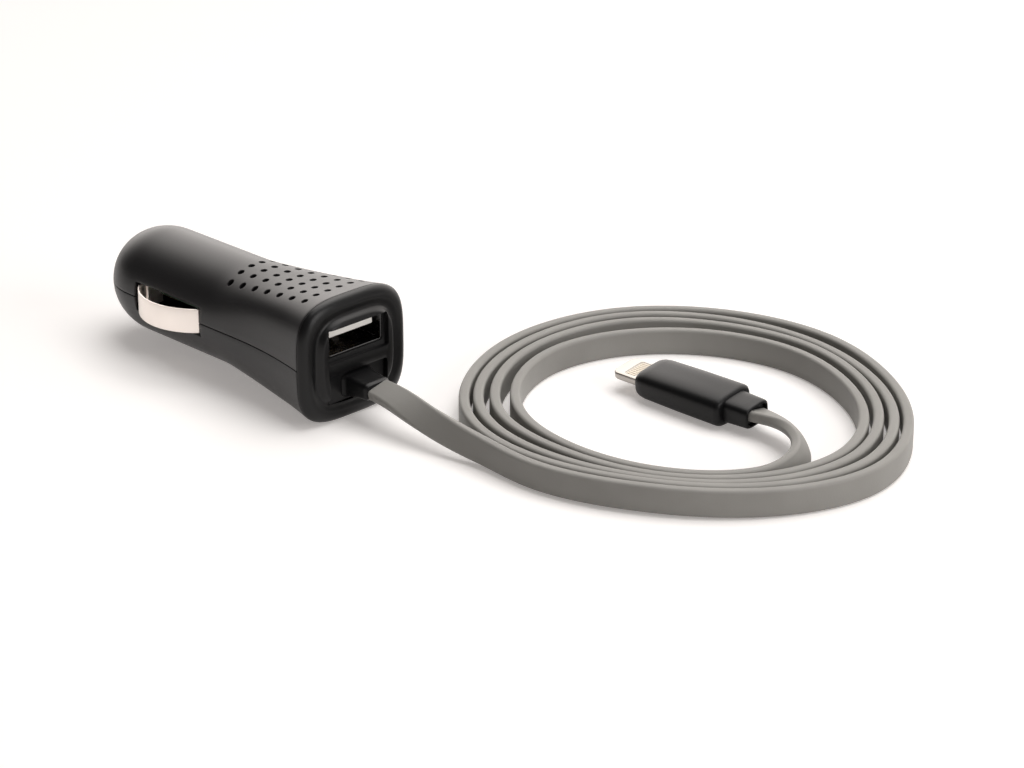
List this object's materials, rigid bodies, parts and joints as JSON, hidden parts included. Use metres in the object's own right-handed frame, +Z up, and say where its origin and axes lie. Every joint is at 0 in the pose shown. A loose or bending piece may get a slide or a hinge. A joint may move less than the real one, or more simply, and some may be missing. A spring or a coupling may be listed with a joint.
{
  "type": "car socket charger with captive cable",
  "caption": "Black car socket charger with sprung contacts, a USB port in its flared square front, and a captive flat grey cable coiled on edge that ends in a small device plug.",
  "frame": {"origin": "on the floor, under the middle of the charger's length and width", "axes": "+X along the charger, out of its front face; +Z up, square to the parting plane of the shells; +Y to the side where the cable's coil lies"},
  "size_m": [0.1547, 0.0976, 0.024],
  "materials": {
    "housing": "fine matte moulded black",
    "cap": "satin moulded black",
    "plated_steel": "nickel plated, soft sheen",
    "spring_wire": "drawn wire",
    "contact_brass": "bright stamped brass",
    "board": "green solder mask",
    "port_steel": "drawn and plated sheet",
    "tongue": "white moulded plastic",
    "ferrite": "dark grey moulded body",
    "capacitor_can": "drawn can",
    "relief": "soft black moulding",
    "cable": "matte grey jacket",
    "plug": "soft black moulding",
    "plug_metal": "bead blasted and plated",
    "insert": "pale moulded insert"
  },
  "bodies": {
    "charger": {"upper_shell": "housing", "lower_shell": "housing", "front_cap": "cap", "pin_spring": "spring_wire", "pin_cup": "contact_brass", "circuit_board": "board", "usb_shell": "port_steel", "usb_tongue": "tongue", "usb_contacts": "contact_brass", "inductor": "ferrite", "input_capacitor": "capacitor_can", "output_capacitor": "capacitor_can", "regulator_chip": "ferrite", "rectifier_diode": "ferrite", "chip_resistors": "ferrite", "strain_relief": "relief", "cable_lead": "cable", "cable_coil": "cable", "cable_tail": "cable", "plug_collar": "plug", "plug_body": "plug", "plug_tip": "plug_metal", "plug_inserts": "insert", "plug_contacts": "contact_brass"},
    "pin": {"centre_pin": "plated_steel"},
    "left_leaf": {"left_contact": "plated_steel"},
    "right_leaf": {"right_contact": "plated_steel"}
  },
  "joints": [
    {"name": "pin_slide", "type": "slide", "parent": "charger", "child": "pin", "axis": [1, 0, 0], "range_m": [0, 0.0015], "stiffness_N_per_m": 2500, "springref_m": -0.001, "deforming": ["pin_spring"]},
    {"name": "left_leaf_flex", "type": "hinge", "parent": "charger", "child": "left_leaf", "pos_m": [-0.0206, -0.00785, 0.012], "axis": [0, 0, 1], "range_deg": [0, 11], "stiffness_Nm_per_rad": 0.25, "springref_deg": -2.86},
    {"name": "right_leaf_flex", "type": "hinge", "parent": "charger", "child": "right_leaf", "pos_m": [-0.0206, 0.00785, 0.012], "axis": [0, 0, -1], "range_deg": [0, 11], "stiffness_Nm_per_rad": 0.25, "springref_deg": -2.86}
  ]
}
